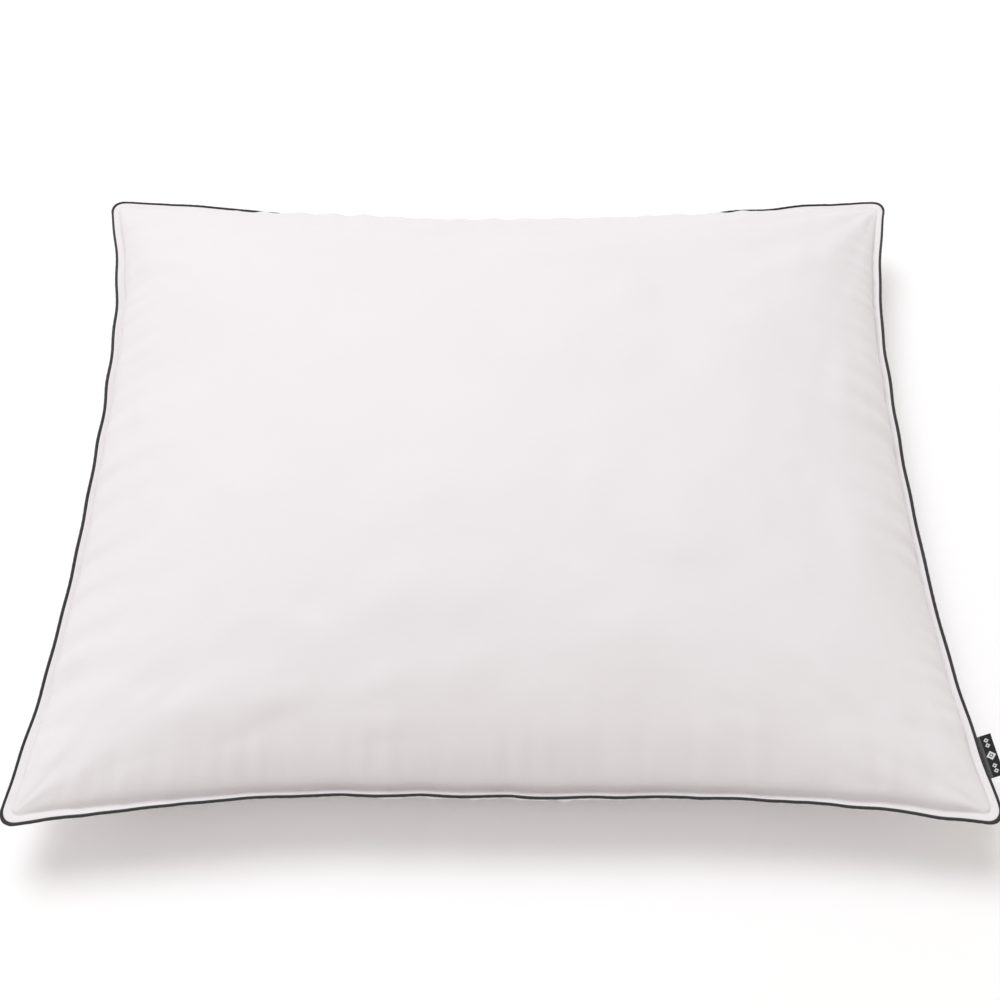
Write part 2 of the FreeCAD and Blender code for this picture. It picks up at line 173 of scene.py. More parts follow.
class Edge:
    """The sewn edge. Each of its points has a frame in the strip's own tilted plane: a runs outwards from
    the edge stitches and b upwards from the middle of the hems. Both are stretched a little from place to
    place, which every piece made with ring() or sample() follows alike."""

    def __init__(self):
        seam = outline(SPAN, SEAM_CORNER)
        stitch = outline(SPAN, STITCH_CORNER, HEM)
        t, side = seam[:, 2], seam[:, 3].astype(int)
        fade = 1 - t**4
        out = seam[:, :2] - stitch[:, :2]
        width = np.linalg.norm(out, axis=1)
        out /= width[:, None]
        steps = np.linalg.norm(np.roll(seam[:, :2], -1, 0) - seam[:, :2], axis=1)
        self.side = side
        self.length = float(steps.sum())
        self.at = np.concatenate([[0], np.cumsum(steps)[:-1]])
        tilt = np.radians(np.array(list(TILT.values())))[side] * fade
        swell = 0.7 * MM * waves(self.at, self.length, 0.07, 0.2, 6)
        z = self.height(t, side, fade) + swell
        pucker = 0.18 * MM * waves(self.at, self.length, 0.012, 0.035, 12)
        sway = 0.6 * MM * waves(self.at, self.length, 0.05, 0.14, 6)
        seam[:, :2] += out * sway[:, None]
        self.out = np.column_stack([out * np.cos(tilt)[:, None], np.sin(tilt)])
        self.up = np.column_stack([-out * np.sin(tilt)[:, None], np.cos(tilt)])
        self.stitch = np.column_stack([seam[:, :2], z]) - self.out * width[:, None]
        self.stitch += self.up * pucker[:, None]
        self.stretch = width / HEM
        self.tuck = 1 - 0.65 * t**12  # the turned-in cloth is trimmed at the corners
        self.gather = waves(self.at, self.length, 0.007, 0.018, 14)

    def height(self, t, side, fade):
        """The seam line's height: from corner to corner in a straight line, bowed at each side's middle."""
        ends = [("front", "front"), ("front", "back"), ("back", "back"), ("front", "back")]
        low, high = (np.array([CORNER_Z[pair[k]] for pair in ends])[side] for k in (0, 1))
        corner = low + (high - low) * (1 + t) / 2
        return corner + (np.array(list(MIDDLE_Z.values()))[side] - corner) * fade

    def ring(self, a, b):
        """One point for each of the edge's own places, at these strip coordinates."""
        puff = 1 + PUFF * self.gather * math.sin(math.pi * min(max(a / HEM, 0), 1))
        reach = a * (self.stretch if a > 0 else self.tuck)
        return self.stitch + self.out * reach[:, None] + self.up * (b * puff)[:, None]

    def sample(self, s, a, b):
        """Points at distances s round the seam line, for arrays a and b of strip coordinates."""
        stretch = np.where(a > 0, self.read(self.stretch, s), self.read(self.tuck, s))
        b = b * (1 + PUFF * self.read(self.gather, s) * np.sin(np.pi * np.clip(a / HEM, 0, 1)))
        rows = []
        for k in range(3):
            base, out, up = (self.read(field[:, k], s) for field in (self.stitch, self.out, self.up))
            rows.append(base + out * a * stretch + up * b)
        return np.stack(rows, -1)

    def read(self, values, s):
        """Values between the edge's own places, on a closed cubic curve through them."""
        s = np.mod(s, self.length)
        count = len(values)
        k = np.searchsorted(self.at, s, side="right") - 1
        places = np.concatenate([self.at - self.length, self.at, self.at + self.length])
        height = np.tile(values, 3)
        slope = (np.roll(height, -1) - np.roll(height, 1)) / (np.roll(places, -1) - np.roll(places, 1))
        k = k + count
        gap = places[k + 1] - places[k]
        f = (s - places[k]) / gap
        rise = height[k + 1] - height[k]
        start, end = slope[k] * gap, slope[k + 1] * gap
        return height[k] + f * start + f**2 * (3 * rise - 2 * start - end) + f**3 * (start + end - 2 * rise)

    def stations(self, step, corner_step, corner=15 * MM):
        """Distances round the seam line, a step apart and closer together within each corner."""
        starts = self.at[np.flatnonzero(np.diff(self.side, prepend=-1))]
        rows = []
        for start, end in zip(starts, np.append(starts[1:], self.length)):
            stops = (start, start + corner, end - corner, end)
            for near, far, gap in zip(stops, stops[1:], (corner_step, step, corner_step)):
                rows.append(np.linspace(near, far, round((far - near) / gap), endpoint=False))
        return np.concatenate(rows)

    def where(self, side, along):
        """The distance round the seam line of a place on a side, given along +X or +Y."""
        number = list(SIDES).index(side)
        line = outline(SPAN, SEAM_CORNER)
        mine = np.flatnonzero(line[:, 3] == number)
        column = 1 if number % 2 else 0
        return float(self.at[mine[np.argmin(np.abs(line[mine, column] - along))]])


edge = Edge()


# ---------------------------------------------------------------- meshes
def new_object(name, points, faces, material, uv=None, smooth=True):
    """A mesh object. uv gives each face corner's place in metres, in the faces' own order."""
    mesh = bpy.data.meshes.new(name)
    mesh.from_pydata(np.asarray(points).tolist(), [], [list(face) for face in faces])
    mesh.polygons.foreach_set("use_smooth", [smooth] * len(mesh.polygons))
    if uv is not None:
        layer = mesh.uv_layers.new(name="cut")
        layer.data.foreach_set("uv", np.asarray(uv, np.float32).ravel())
    if material:
        mesh.materials.append(material)
    mesh.validate()
    made = bpy.data.objects.new(name, mesh)
    bpy.context.collection.objects.link(made)
    return made


def grid_faces(index):
    """Quads between the rows and columns of an array of vertex numbers."""
    return np.stack([index[:-1, :-1], index[:-1, 1:], index[1:, 1:], index[1:, :-1]], -1).reshape(-1, 4)


def tube(rings, closed, first=0):
    """Quads around a row of rings, each with the same number of points, and its caps if it is open."""
    count, around = rings
    index = first + np.arange(count * around).reshape(count, around)
    index = np.column_stack([index, index[:, 0]])
    if closed:
        return grid_faces(np.vstack([index, index[:1]])).tolist()
    caps = [index[0, :-1][::-1].tolist(), index[-1, :-1].tolist()]
    return grid_faces(index).tolist() + caps


def fill_grid(line):
    """Points inside a closed line of x and y, blended from its four sides (a Coons patch)."""
    nx, ny = LONG_STEPS + ARC_STEPS, SHORT_STEPS + ARC_STEPS
    front, right = line[:nx + 1], line[nx:nx + ny + 1]
    back = line[nx + ny:2 * nx + ny + 1][::-1]
    left = np.concatenate([line[2 * nx + ny:], line[:1]])[::-1]
    u = (front[:, 0] - front[0, 0]) / (front[-1, 0] - front[0, 0])
    v = (left[:, 1] - left[0, 1]) / (left[-1, 1] - left[0, 1])
    u, v = (axis[..., None] for axis in np.meshgrid(u, v))
    sides = (1 - v) * front + v * back + (1 - u) * left[:, None] + u * right[:, None]
    near, far = (1 - u) * front[0] + u * front[-1], (1 - u) * back[0] + u * back[-1]
    return sides - (1 - v) * near - v * far


def soft_noise(shape, cells):
    """Low hills over a grid: random heights on a coarse one, joined by cubic B-splines."""
    heights = random.normal(0, 1, (cells[0] + 3, cells[1] + 3))

    def weights(count, spans):
        t = np.linspace(0, spans, count)
        start = np.minimum(t.astype(int), spans - 1)
        f = t - start
        first, second = (1 - f)**3, 3 * f**3 - 6 * f**2 + 4
        third = 6 - first - second - f**3
        return start, np.stack([first, second, third, f**3]) / 6

    rows, down = weights(shape[0], cells[0])
    columns, across = weights(shape[1], cells[1])
    total = np.zeros(shape)
    for i in range(4):
        for j in range(4):
            total += down[i][:, None] * across[j][None] * heights[rows + i][:, columns + j]
    return total


# ---------------------------------------------------------------- the puffed cover, by cloth simulation
class Cover:
    """Both panels as one closed cloth, sewn along the edge stitches and blown up onto the floor."""

    def __init__(self):
        cut = fill_grid(outline(FLAT, STITCH_CORNER, HEM, pulled=False)[:, :2])
        plan = fill_grid(edge.stitch)
        self.cut = cut
        rows, columns = cut.shape[:2]
        self.inner = np.zeros((rows, columns), bool)
        self.inner[1:-1, 1:-1] = True
        self.top = np.arange(rows * columns).reshape(rows, columns)
        self.bottom = self.top.copy()
        self.bottom[self.inner] = rows * columns + np.arange(self.inner.sum())
        self.border = np.concatenate(
            [self.top[0, :-1], self.top[:-1, -1], self.top[-1, :0:-1], self.top[:0:-1, 0]]
        )
        spread = np.abs(cut) / (np.array(FLAT) / 2 - HEM)
        dome = np.sqrt(np.prod(1 - spread**2, -1).clip(0))
        crown = plan.copy()
        crown[..., 2] += CROWN_RISE * dome
        belly = plan.copy()
        belly[..., 2] -= BELLY_DROP * np.minimum(1, 2.5 * dome)
        for panel in (crown, belly):
            lumps = soft_noise(dome.shape, COARSE_LUMPS) + 0.7 * soft_noise(dome.shape, FINE_LUMPS)
            panel[..., 2] += LUMP * lumps * dome**0.3
        belly[..., 2] = np.maximum(belly[..., 2], np.where(self.inner, 2 * MM, -1))
        self.start = np.concatenate([crown.reshape(-1, 3), belly[self.inner]])
        relaxed = np.concatenate([cut.reshape(-1, 2), cut[self.inner]]) * EASE
        self.relaxed = np.column_stack([relaxed, np.full(len(relaxed), SEAM_Z)])
        self.faces = np.concatenate([grid_faces(self.top), grid_faces(self.bottom)[:, ::-1]])
        self.points = self.simulate()

    def simulate(self):
        cover = new_object("cover_simulation", self.start, self.faces, None)
        cover.shape_key_add(name="start")
        relaxed = cover.shape_key_add(name="relaxed")
        relaxed.data.foreach_set("co", self.relaxed.ravel())
        relaxed.value = 0
        pins = cover.vertex_groups.new(name="sewn")
        pins.add(self.border.tolist(), 1.0, "REPLACE")
        cloth = cover.modifiers.new("cloth", "CLOTH")
        for name, amount in {
            "quality": 5, "mass": 0.0002, "air_damping": 1, "tension_stiffness": 150,
            "compression_stiffness": 150, "shear_stiffness": 30, "bending_stiffness": 0.002,
            "tension_damping": 1, "compression_damping": 1, "shear_damping": 0.5,
            "bending_damping": 0.01, "use_pressure": True, "uniform_pressure_force": 3,
            "vertex_group_mass": "sewn", "rest_shape_key": relaxed,
        }.items():
            setattr(cloth.settings, name, amount)
        cloth.settings.effector_weights.gravity = 0
        cloth.collision_settings.distance_min = 1 * MM
        cloth.collision_settings.use_self_collision = False
        corners = [(-1, -1, -SINK), (1, -1, -SINK), (1, 1, -SINK), (-1, 1, -SINK)]
        ground = new_object("ground_simulation", corners, [(0, 1, 2, 3)], None)
        ground.modifiers.new("floor", "COLLISION")
        ground.collision.thickness_outer = 1 * MM
        scene = bpy.context.scene
        cloth.point_cache.frame_start, cloth.point_cache.frame_end = 1, BLOW_FRAMES
        for number in range(1, BLOW_FRAMES + 1):
            scene.frame_set(number)
        done = cover.evaluated_get(bpy.context.evaluated_depsgraph_get())
        points = np.zeros(len(self.start) * 3, np.float32)
        done.data.vertices.foreach_get("co", points)
        points = points.reshape(-1, 3).astype(float)
        scene.frame_set(1)
        for used in (cover, ground):
            mesh = used.data
            bpy.data.objects.remove(used)
            bpy.data.meshes.remove(mesh)
        return self.soften(points)

    def soften(self, points):
        """Eases out creases as narrow as the grid, away from the stitches."""
        for _ in range(2):
            for numbers in (self.top, self.bottom):
                grid = points[numbers]
                near = grid[:-2, 1:-1] + grid[2:, 1:-1] + grid[1:-1, :-2] + grid[1:-1, 2:]
                points[numbers[1:-1, 1:-1]] = 0.5 * grid[1:-1, 1:-1] + 0.125 * near
        return points


# ---------------------------------------------------------------- materials
class Shader:
    """A material's node tree, with short ways to add to it."""

    def __init__(self, name, colour, roughness, sheen=0.0, sheen_roughness=0.5):
        self.material = bpy.data.materials.new(name)
        self.material.use_nodes = True
        self.material.diffuse_color = (*colour, 1)
        self.tree = self.material.node_tree
        self.surface = self.tree.nodes["Principled BSDF"]
        self.surface.inputs["Base Color"].default_value = (*colour, 1)
        self.surface.inputs["Roughness"].default_value = roughness
        self.surface.inputs["Sheen Weight"].default_value = sheen
        self.surface.inputs["Sheen Roughness"].default_value = sheen_roughness
        self.surface.inputs["Specular IOR Level"].default_value = 0.3

    def node(self, kind, inputs=(), **settings):
        made = self.tree.nodes.new(f"ShaderNode{kind}")
        for name, setting in settings.items():
            setattr(made, name, setting)
        for place, source in dict(inputs).items():
            if isinstance(source, bpy.types.NodeSocket):
                self.tree.links.new(source, made.inputs[place])
            else:
                made.inputs[place].default_value = source
        return made

    def math(self, operation, *sources):
        return self.node("Math", dict(enumerate(sources)), operation=operation).outputs[0]

    def cut_place(self):
        """The place on the cut cloth, in metres, as separate values along and across it."""
        place = self.node("UVMap", uv_map="cut").outputs[0]
        parts = self.node("SeparateXYZ", {0: place})
        return place, parts.outputs[0], parts.outputs[1]

    def weave(self, along, across, pitch):
        """Heights of a plain weave with this pitch: warp and weft take turns to rise."""
        rate = 2 * math.pi / pitch
        warp = self.math("SINE", self.math("MULTIPLY", along, rate))
        weft = self.math("SINE", self.math("MULTIPLY", across, rate))
        return self.math("MULTIPLY", warp, weft)

    def lozenges(self, side, height, outer, inner):
        """1 inside a lozenge's outline, whose two edges are outer and inner from its centre, else 0."""
        distance = self.math("ADD", side, height)
        within = self.math("LESS_THAN", distance, outer)
        return self.math("MULTIPLY", within, self.math("GREATER_THAN", distance, inner))

    def noise(self, vector, scale, detail=2.0, stretch=(1, 1, 1)):
        mapped = self.node("Mapping", {"Vector": vector, "Scale": stretch}).outputs[0]
        return self.node("TexNoise", {"Vector": mapped, "Scale": scale, "Detail": detail}).outputs[0]

    def bump(self, height, depth, below=None):
        inputs = {"Height": height, "Distance": depth, "Strength": 1.0}
        if below:
            inputs["Normal"] = below
        return self.node("Bump", inputs).outputs[0]

    def tint(self, factor, dark, light):
        mixed = self.node("Mix", {0: factor, 6: (*dark, 1), 7: (*light, 1)}, data_type="RGBA")
        self.tree.links.new(mixed.outputs[2], self.surface.inputs["Base Color"])
        return mixed.outputs[2]

    def finish(self, normal):
        self.tree.links.new(normal, self.surface.inputs["Normal"])
        return self.material


def cotton():
    """White downproof cotton: a very fine weave with slubs, a faint sheen and slightly uneven whiteness."""
    shader = Shader("white_cotton", (0.80, 0.77, 0.785), 0.62, sheen=0.12, sheen_roughness=0.4)
    place, along, across = shader.cut_place()
    uneven = shader.noise(place, 9, 3)
    yarns = shader.noise(place, 60, 4, (1, 26, 1))
    picks = shader.noise(place, 60, 4, (26, 1, 1))
    blend = shader.math("MULTIPLY_ADD", yarns, 0.25, shader.math("MULTIPLY_ADD", picks, 0.25, shader.math(
        "MULTIPLY", uneven, 0.5)))
    shader.tint(blend, (0.775, 0.742, 0.757), (0.825, 0.795, 0.812))
    slubs = shader.bump(shader.math("ADD", yarns, picks), 0.03 * MM)
    fine = shader.bump(shader.weave(along, across, 0.42 * MM), 0.012 * MM, slubs)
    creases = shader.bump(shader.noise(place, 55, 3), 0.25 * MM, fine)
    return shader.finish(creases)


def bias_tape():
    """Charcoal cotton tape cut on the bias, so that its yarns cross the piping at 45 degrees."""
    shader = Shader("charcoal_tape", (0.03, 0.03, 0.032), 0.72, sheen=0.25, sheen_roughness=0.45)
    place, along, across = shader.cut_place()
    one, other = shader.math("ADD", along, across), shader.math("SUBTRACT", along, across)
    shader.tint(shader.noise(place, 180, 3), (0.020, 0.020, 0.021), (0.045, 0.044, 0.046))
    return shader.finish(shader.bump(shader.weave(one, other, 0.6 * MM), 0.05 * MM))


def thread_material():
    """White spun sewing thread, with its plies' slant."""
    shader = Shader("white_thread", (0.86, 0.85, 0.84), 0.5, sheen=0.3)
    place, along, across = shader.cut_place()
    slant = shader.math("MULTIPLY_ADD", along, 5200.0, shader.math("MULTIPLY", across, 4100.0))
    shader.tint(shader.noise(place, 900, 2), (0.80, 0.79, 0.78), (0.90, 0.89, 0.88))
    return shader.finish(shader.bump(shader.math("SINE", slant), 0.03 * MM))


def cord_material():
    """Unbleached cotton cord."""
    shader = Shader("raw_cotton_cord", (0.72, 0.68, 0.60), 0.85, sheen=0.3)
    place, along, across = shader.cut_place()
    shader.tint(shader.noise(place, 400, 4), (0.62, 0.58, 0.50), (0.80, 0.77, 0.70))
    fibres = shader.noise(place, 900, 3, (0.25, 1, 1))
    return shader.finish(shader.bump(fibres, 0.15 * MM))


def woven_black():
    """The label's black damask tape: a painted grey highlight beside the piping, where the tape curves round
    under it, then a white woven row of plain lozenges with a larger one in its middle."""
    shader = Shader("black_label", (0.008, 0.008, 0.009), 0.6, sheen=0.04)
    place, along, across = shader.cut_place()
    height = shader.math("ABSOLUTE", shader.math("SUBTRACT", across, 8.4 * MM))
    side = shader.math("ABSOLUTE", along)
    small = shader.lozenges(shader.math("PINGPONG", side, 1.9 * MM), height, 1.8 * MM, 0.7 * MM)
    start = shader.math("GREATER_THAN", side, 5.7 * MM)
    stop = shader.math("LESS_THAN", side, 13.3 * MM)
    small = shader.math("MULTIPLY", small, shader.math("MULTIPLY", start, stop))
    large = shader.lozenges(side, height, 3.4 * MM, 1.6 * MM)
    middle = shader.lozenges(side, height, 0.9 * MM, -1.0)
    pattern = shader.math("ADD", small, shader.math("ADD", large, middle))
    # painted highlight: a lighter grey band from 3 to 5 mm across, standing in for light on the tape's curve
    # under the piping
    centre = shader.math("ABSOLUTE", shader.math("SUBTRACT", across, 4.0 * MM))
    painted_fold_highlight = shader.math("MULTIPLY", shader.math("LESS_THAN", centre, 1.0 * MM), 0.13)
    weft = shader.math("SINE", shader.math("MULTIPLY", across, 2 * math.pi / (0.35 * MM)))
    picks = shader.math("MULTIPLY_ADD", weft, 0.12, 0.85)
    light = shader.math("MULTIPLY", shader.math("ADD", pattern, painted_fold_highlight), picks)
    shader.tint(light, (0.008, 0.008, 0.009), (0.78, 0.78, 0.77))
    ribs = shader.bump(shader.weave(along, across, 0.35 * MM), 0.03 * MM)
    return shader.finish(shader.bump(pattern, 0.06 * MM, ribs))


def satin_white():
    """The care label's white satin: smooth and glossy across its width."""
    shader = Shader("white_satin", (0.84, 0.84, 0.83), 0.32, sheen=0.2)
    place, along, across = shader.cut_place()
    shader.surface.inputs["Anisotropic"].default_value = 0.5
    shader.tint(shader.noise(place, 300, 2, (1, 8, 1)), (0.80, 0.80, 0.79), (0.87, 0.87, 0.86))
    return shader.finish(shader.bump(shader.weave(along, across, 0.2 * MM), 0.008 * MM))


def fibre_material():
    """Loose white down-like fibre."""
    shader = Shader("white_fibre", (0.84, 0.82, 0.78), 0.95, sheen=0.5)
    place, along, across = shader.cut_place()
    tufts = shader.noise(place, 70, 6)
    shader.tint(tufts, (0.74, 0.72, 0.68), (0.90, 0.89, 0.86))
    return shader.finish(shader.bump(tufts, 3 * MM))


def floor_material():
    """A matte white studio floor with the faintest unevenness."""
    shader = Shader("studio_floor", (0.97, 0.97, 0.97), 0.8)
    where = shader.node("TexCoord").outputs["Object"]
    shader.tint(shader.noise(where, 1.5, 2), (0.965, 0.965, 0.965), (0.975, 0.975, 0.975))
    return shader.finish(shader.bump(shader.noise(where, 300, 2), 0.02 * MM))


# ---------------------------------------------------------------- the two panels
def corner_values(faces, values):
    """Each face corner's value, from values kept per vertex."""
    return np.concatenate([np.asarray(values)[list(face)] for face in faces])


# The strip's section outside the stitches, as (a, b) in the edge's frame: outwards over the strip, round
# the fold at the piping, and back under it as the turned-in allowance.
STRIP = [(0.7, 0.84), (1.8, 0.97), (3.2, 1.02), (4.5, 0.96), (5.3, 0.82), (5.7, 0.64), (5.82, 0.47),
         (5.6, 0.33), (4.2, 0.32), (2.0, 0.32), (0.0, 0.32), (-3.2, 0.34)]
ROOT = 0.77  # the strip's height at the stitches, in mm


def corner_folds(place):
    """Heights of soft folds that fan out from the panel's corners, where the filling crowds the cloth."""
    rise = np.zeros(len(place))
    for signs in ((-1, -1), (1, -1), (1, 1), (-1, 1)):
        inward = np.array(FLAT) / 2 - HEM - place[:, :2] * signs
        distance = np.hypot(*inward.T)
        angle = np.arctan2(inward[:, 1], inward[:, 0])
        clear = 1 - np.exp(-inward.min(1).clip(0) / (5 * MM))
        for _ in range(6):
            folds = random.uniform(7, 15)
            depth = random.uniform(0.12, 0.3) * MM
            reach = distance / (random.uniform(25, 50) * MM)
            wave = np.sin(folds * angle + random.uniform(0, 2 * np.pi))
            rise += clear * depth * wave * reach * np.exp(1 - reach)
    return rise


def pucker(panel):
    """Applies the panel's subdivision, then adds the small gathers that run in from the edge stitches."""
    fine = bpy.data.meshes.new_from_object(panel.evaluated_get(bpy.context.evaluated_depsgraph_get()))
    panel.modifiers.clear()
    panel.data = fine
    count = len(fine.vertices)
    points, normals, place = (np.zeros(count * 3, np.float32) for _ in "pnc")
    fine.vertices.foreach_get("co", points)
    fine.vertices.foreach_get("normal", normals)
    fine.attributes["place"].data.foreach_get("vector", place)
    fine.attributes.remove(fine.attributes["place"])
    points, normals, place = (values.reshape(-1, 3).astype(float) for values in (points, normals, place))
    rise = np.zeros(count)
    for axis in (0, 1):
        inside = FLAT[axis] / 2 - HEM - np.abs(place[:, axis])
        along = place[:, 1 - axis] / (FLAT[1 - axis] / 2 - HEM)
        ends = np.clip(1 - along**8, 0, 1)
        for far in (-1, 1):
            mine = np.where(place[:, axis] * far > 0, ends, 0)
            for _ in range(16):
                length = random.uniform(10, 36) * MM
                depth = random.uniform(0.1, 0.22) * MM * (length / (24 * MM)) ** 0.5
                wave = np.sin(2 * np.pi * (place[:, 1 - axis] / length + random.random()))
                reach = np.maximum(inside, 0) / (0.5 * length)
                rise += mine * depth * wave * reach * np.exp(1 - reach)
    rise += corner_folds(place)
    fine.vertices.foreach_set("co", (points + normals * rise[:, None]).astype(np.float32).ravel())
    fine.update()


def make_panel(name, cover, upper, material):
    """A panel: the puffed cloth with the stitched strip, its fold and its turned-in allowance."""
    side = 1 if upper else -1
    numbers = cover.top if upper else cover.bottom
    points = cover.points[numbers.ravel()].reshape(*numbers.shape, 3)
    rows, columns = numbers.shape
    index = np.arange(rows * columns).reshape(rows, columns)
    border = np.concatenate([index[0, :-1], index[:-1, -1], index[-1, :0:-1], index[:0:-1, 0]])
    steps_in = (np.minimum(np.arange(n), n - 1 - np.arange(n)) for n in (columns, rows))
    near = np.minimum(*np.meshgrid(*steps_in))
    points[..., 2] += side * (ROOT * MM) * np.exp(-near / 2.0)
    flat = points.reshape(-1, 3)
    flat[border] = edge.ring(0.0, side * ROOT * MM)
    cut = cover.cut.reshape(-1, 2)
    edge_cut = cut[border]
    outward = edge_cut - edge_cut * (1 - 2 * HEM / np.array(FLAT))
    outward /= np.linalg.norm(outward, axis=1)[:, None]
    rings, uvs, faces = [flat], [cut], grid_faces(index).tolist()
    previous, travelled, last = border, 0.0, (0.0, ROOT)
    for a, b in STRIP:
        travelled += math.hypot(a - last[0], b - last[1]) * MM
        last = (a, b)
        start = sum(len(ring) for ring in rings)
        rings.append(edge.ring(a * MM, side * b * MM))
        uvs.append(edge_cut + outward * travelled)
        ring = start + np.arange(len(border))
        pair = np.stack([np.append(previous, previous[0]), np.append(ring, ring[0])])
        faces += grid_faces(pair)[:, ::-1].tolist()
        previous = ring
    if not upper:
        faces = [face[::-1] for face in faces]
    uvs = np.concatenate(uvs)
    made = new_object(name, np.concatenate(rings), faces, material, corner_values(faces, uvs))
    place = made.data.attributes.new("place", "FLOAT_VECTOR", "POINT")
    place.data.foreach_set("vector", np.column_stack([uvs, np.zeros(len(uvs))]).astype(np.float32).ravel())
    smooth = made.modifiers.new("smooth", "SUBSURF")
    smooth.levels = smooth.render_levels = 1
    pucker(made)
    ply = made.modifiers.new("ply", "SOLIDIFY")
    ply.thickness, ply.offset = PLY, -1
    return made


def make_filling(cover, material):
    """The fibre inside: one lumpy body that fills the cover to just under its cloth."""
    middle = np.array((0, 0, SEAM_Z))
    points = middle + (cover.points - middle) * FILLING_SHARE
    tangle = np.sin(points @ random.normal(0, 160, (3, 9)) + random.uniform(0, 6.3, 9)).mean(1)
    depth = np.abs(cover.points[:, 2] - SEAM_Z)
    lump = 1.5 * MM * (1 + tangle) * np.clip(depth / (40 * MM), 0, 1)
    points[:, 2] -= np.sign(points[:, 2] - SEAM_Z) * lump
    uv = corner_values(cover.faces, points[:, :2])
    return new_object("filling_fibre", points, cover.faces, material, uv)


# ---------------------------------------------------------------- the sewn edge
def folded_strip(name, material, outer, inner, uv, closed):
    """One strip of cloth with a thickness. outer and inner hold its two faces as stations by places across
    it; uv holds the place on the cut cloth. A closed strip joins its last station to its first."""
    stations, places = outer.shape[:2]
    face = np.arange(stations * places).reshape(stations, places)
    back = face + stations * places
    if closed:
        face, back = np.vstack([face, face[:1]]), np.vstack([back, back[:1]])
    faces = [grid_faces(face), grid_faces(back)[:, ::-1]]
    for column in (0, -1):
        faces.append(grid_faces(np.stack([face[:, column], back[:, column]])))
    if not closed:
        for row in (0, -1):
            faces.append(grid_faces(np.stack([face[row], back[row]])))
    faces = np.concatenate(faces).tolist()
    points = np.concatenate([outer.reshape(-1, 3), inner.reshape(-1, 3)])
    uv = np.concatenate([uv.reshape(-1, 2)] * 2)
    made = new_object(name, points, faces, material, corner_values(faces, uv))
    face_outwards(made)
    return made


def face_outwards(made):
    """Turns the faces of closed solids so that they all look out."""
    mesh = bmesh.new()
    mesh.from_mesh(made.data)
    bmesh.ops.recalc_face_normals(mesh, faces=mesh.faces[:])
    mesh.to_mesh(made.data)
    mesh.free()


def hairpin(tail, half, radius, centre, turns=22):
    """The section of cloth folded round a cord, as (a, b): a tail in, round the cord, and a tail back."""
    mouth = math.asin(half / radius)
    around = np.linspace(math.pi - mouth, mouth - math.pi, turns)
    loop = np.column_stack([centre + radius * np.cos(around), radius * np.sin(around)])
    upper = np.column_stack([tail, np.full(len(tail), half)])
    lower = upper[::-1] * (1, -1)
    return np.concatenate([upper, loop, lower])


def make_tape(material):
    """The piping's bias tape, folded round the cord, with both tails between the two hems."""
    s = edge.stations(1.5 * MM, 0.55 * MM)[:, None]
    tail = np.array([-3.2, -1.5, 0.5, 2.5, 4.5, 5.6]) * MM
    outer = hairpin(tail, TAPE_HALF, PIPING_RADIUS, PIPING_OUT)
    inner = hairpin(tail, TAPE_GAP, PIPING_RADIUS - TAPE_PLY, PIPING_OUT)
    step = np.linalg.norm(np.diff(outer, axis=0, prepend=outer[:1]), axis=1)
    across = np.cumsum(step)
    slant = 2 * np.pi * (s / (6.5 * MM) - across / (8 * MM))
    pull = 0.035 * MM * (np.sin(slant) + waves(s, edge.length, 0.004, 0.011, 10))
    sheets = []
    for section in (outer, inner):
        arm = section - (PIPING_OUT, 0)
        distance = np.linalg.norm(arm, axis=1)
        grow = np.where(distance < PIPING_RADIUS * 1.05, 1.0, 0.0) / distance
        a = section[:, 0] + arm[:, 0] * grow * pull
        b = section[:, 1] + arm[:, 1] * grow * pull
        sheets.append(edge.sample(s * np.ones_like(a), a, b))
    uv = np.stack(np.broadcast_arrays(s, across), -1)
    return folded_strip("piping_tape_bias", material, *sheets, uv, True)


def make_cord(material):
    """The twisted three-ply cord inside the tape."""
    count = int(edge.length / (1.2 * MM))
    s = np.linspace(0, edge.length, count, endpoint=False)[:, None]
    twists = round(edge.length / (8 * MM))
    around = np.linspace(0, 2 * math.pi, 15, endpoint=False)
    turn = around + twists * 2 * math.pi * s / edge.length
    radius = CORD_RADIUS * (0.93 + 0.07 * np.cos(3 * around)) * np.ones_like(turn)
    s = np.broadcast_to(s, turn.shape)
    points = edge.sample(s, PIPING_OUT + radius * np.cos(turn), radius * np.sin(turn))
    uv = np.stack([s, np.broadcast_to(around * CORD_RADIUS, turn.shape)], -1).reshape(-1, 2)
    faces = tube(points.shape[:2], True)
    return new_object("piping_cord_twisted", points.reshape(-1, 3), faces, material, corner_values(faces, uv))


